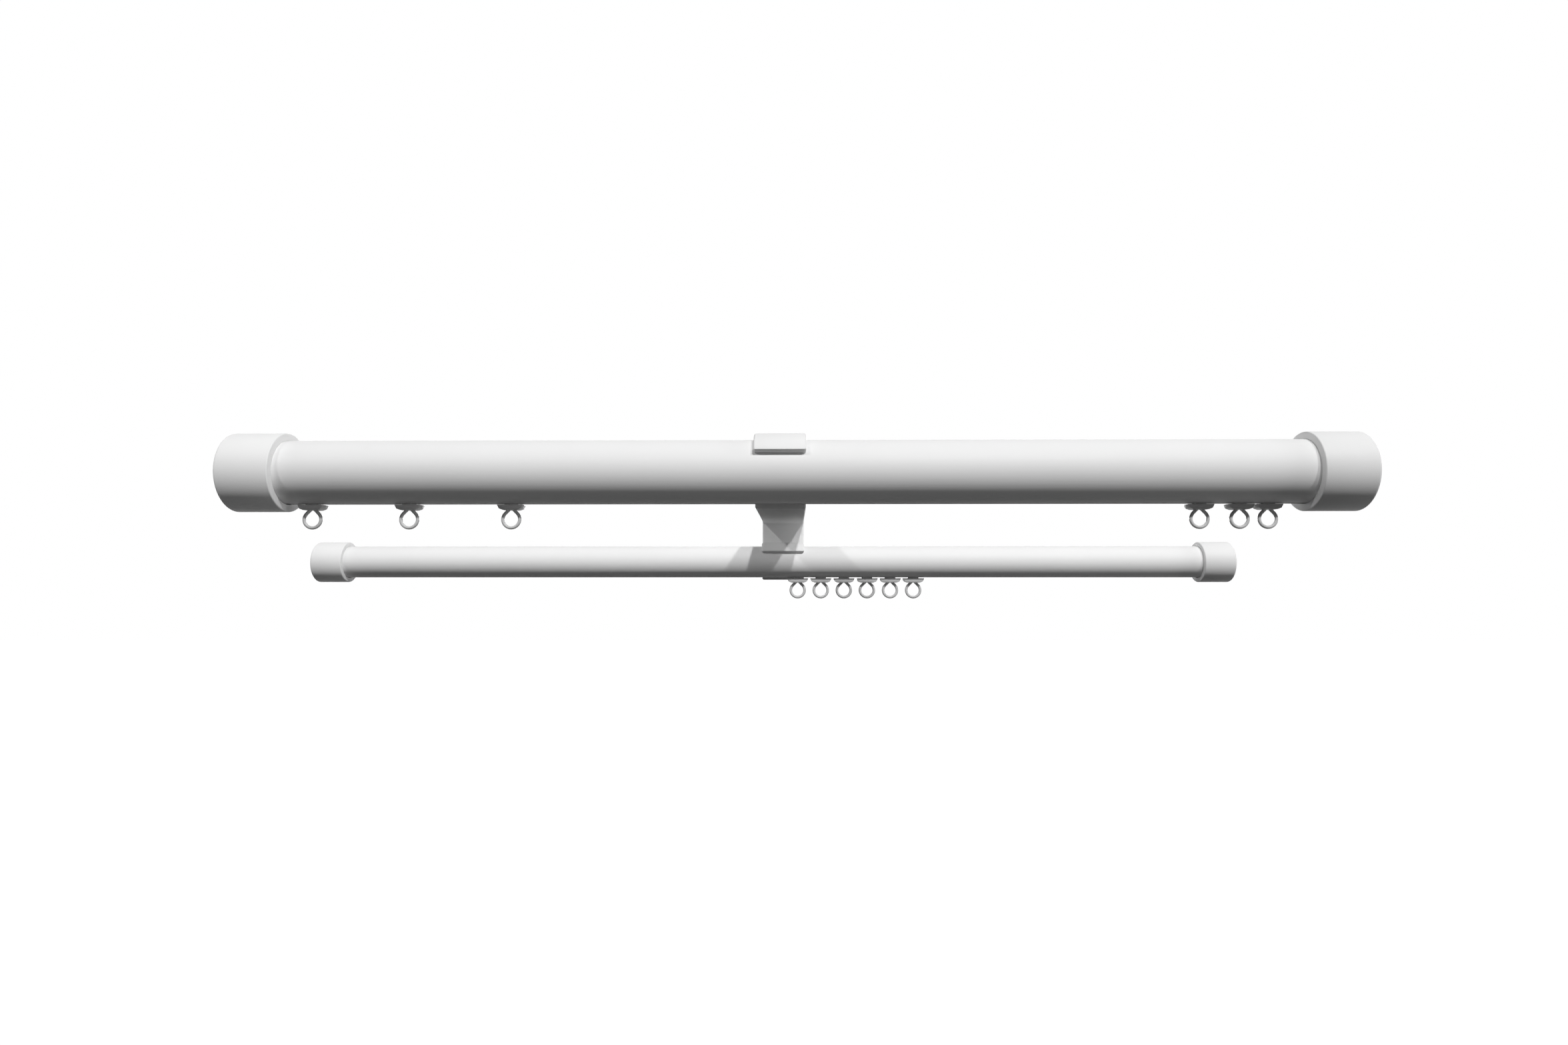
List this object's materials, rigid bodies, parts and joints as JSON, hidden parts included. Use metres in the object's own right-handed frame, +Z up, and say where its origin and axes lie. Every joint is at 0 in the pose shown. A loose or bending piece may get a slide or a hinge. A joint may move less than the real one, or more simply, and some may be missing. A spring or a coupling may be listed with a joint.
{
  "type": "double curtain rod",
  "caption": "Double curtain rod: a thick front rail and a thinner rear rail, round and slotted below, in the cradles of a wall bracket, with end caps and sliding ring runners.",
  "frame": {"origin": "middle of the two wall screw holes, on the face that goes against the wall", "axes": "+X along the rails, to the right as seen from the room; +Y into the wall; +Z up"},
  "size_m": [0.6242, 0.1735, 0.1056],
  "materials": {
    "rail_paint": "satin white paint on an aluminium extrusion",
    "bracket_paint": "satin white paint on an aluminium section",
    "cap_plastic": "satin white moulding",
    "runner_plastic": "smooth pale moulding",
    "screw_steel": "plain zinc plate"
  },
  "bodies": {
    "rod": {"bracket": "bracket_paint", "front_rail": "rail_paint", "rear_rail": "rail_paint", "front_left_cap": "cap_plastic", "front_right_cap": "cap_plastic", "rear_left_cap": "cap_plastic", "rear_right_cap": "cap_plastic", "front_lock_screw": "screw_steel", "rear_lock_screw": "screw_steel"},
    "front_runner_1": {"front_runner_1": "runner_plastic"},
    "front_runner_2": {"front_runner_2": "runner_plastic"},
    "front_runner_3": {"front_runner_3": "runner_plastic"},
    "front_runner_4": {"front_runner_4": "runner_plastic"},
    "front_runner_5": {"front_runner_5": "runner_plastic"},
    "front_runner_6": {"front_runner_6": "runner_plastic"},
    "rear_runner_1": {"rear_runner_1": "runner_plastic"},
    "rear_runner_2": {"rear_runner_2": "runner_plastic"},
    "rear_runner_3": {"rear_runner_3": "runner_plastic"},
    "rear_runner_4": {"rear_runner_4": "runner_plastic"},
    "rear_runner_5": {"rear_runner_5": "runner_plastic"},
    "rear_runner_6": {"rear_runner_6": "runner_plastic"}
  },
  "joints": [
    {"name": "front_runner_1_slide", "type": "slide", "parent": "rod", "child": "front_runner_1", "axis": [1, 0, 0], "range_m": [-0.00625, 0.0385]},
    {"name": "front_runner_2_slide", "type": "slide", "parent": "rod", "child": "front_runner_2", "axis": [1, 0, 0], "range_m": [-0.0385, 0.0413]},
    {"name": "front_runner_3_slide", "type": "slide", "parent": "rod", "child": "front_runner_3", "axis": [1, 0, 0], "range_m": [-0.0413, 0.3584]},
    {"name": "front_runner_4_slide", "type": "slide", "parent": "rod", "child": "front_runner_4", "axis": [1, 0, 0], "range_m": [-0.3584, 0.0069]},
    {"name": "front_runner_5_slide", "type": "slide", "parent": "rod", "child": "front_runner_5", "axis": [1, 0, 0], "range_m": [-0.0069, 0.0006]},
    {"name": "front_runner_6_slide", "type": "slide", "parent": "rod", "child": "front_runner_6", "axis": [1, 0, 0], "range_m": [-0.0006, 0.01255]},
    {"name": "rear_runner_1_slide", "type": "slide", "parent": "rod", "child": "rear_runner_1", "axis": [1, 0, 0], "range_m": [-0.2938, 0.0008]},
    {"name": "rear_runner_2_slide", "type": "slide", "parent": "rod", "child": "rear_runner_2", "axis": [1, 0, 0], "range_m": [-0.0008, 0.0008]},
    {"name": "rear_runner_3_slide", "type": "slide", "parent": "rod", "child": "rear_runner_3", "axis": [1, 0, 0], "range_m": [-0.0008, 0.0008]},
    {"name": "rear_runner_4_slide", "type": "slide", "parent": "rod", "child": "rear_runner_4", "axis": [1, 0, 0], "range_m": [-0.0008, 0.0008]},
    {"name": "rear_runner_5_slide", "type": "slide", "parent": "rod", "child": "rear_runner_5", "axis": [1, 0, 0], "range_m": [-0.0008, 0.0008]},
    {"name": "rear_runner_6_slide", "type": "slide", "parent": "rod", "child": "rear_runner_6", "axis": [1, 0, 0], "range_m": [-0.0008, 0.1812]}
  ]
}
